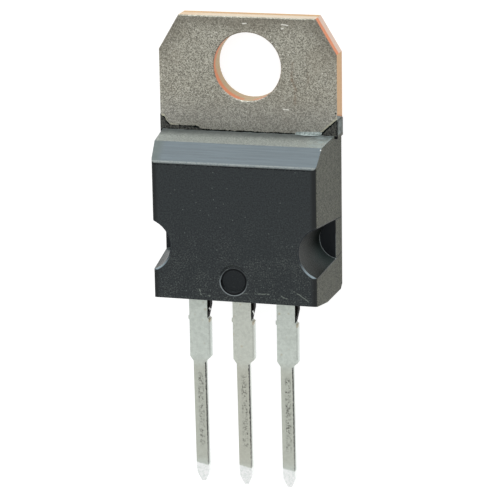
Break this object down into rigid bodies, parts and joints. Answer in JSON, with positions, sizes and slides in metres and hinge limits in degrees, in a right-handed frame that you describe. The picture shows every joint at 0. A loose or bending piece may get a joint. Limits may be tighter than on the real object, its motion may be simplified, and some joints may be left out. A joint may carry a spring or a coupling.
{
  "type": "thyristor",
  "caption": "Thyristor in a flat moulded package with a bored heatsink tab and three straight solder leads.",
  "frame": {"origin": "middle of the screw hole, on the mounting face", "axes": "+X across the leads, from the cathode lead to the gate lead; +Y from the leads to the tab's top edge; +Z from the mounting face to the moulded front"},
  "size_m": [0.0102, 0.0267, 0.0045],
  "materials": {
    "moulding": "matt, fine eroded grain",
    "header": "nickel-plated copper, frosted, bare copper at the sheared edges",
    "lead_tin": "matt tin plating",
    "silicon": "polished silicon",
    "solder": "dull solder",
    "bond_wire": "drawn aluminium wire"
  },
  "bodies": {
    "root": {"moulded_body": "moulding", "heatsink_header": "header", "cathode_lead": "lead_tin", "gate_lead": "lead_tin", "silicon_die": "silicon", "die_solder": "solder", "cathode_wire_outer": "bond_wire", "cathode_wire_inner": "bond_wire", "gate_wire": "bond_wire"}
  },
  "joints": []
}
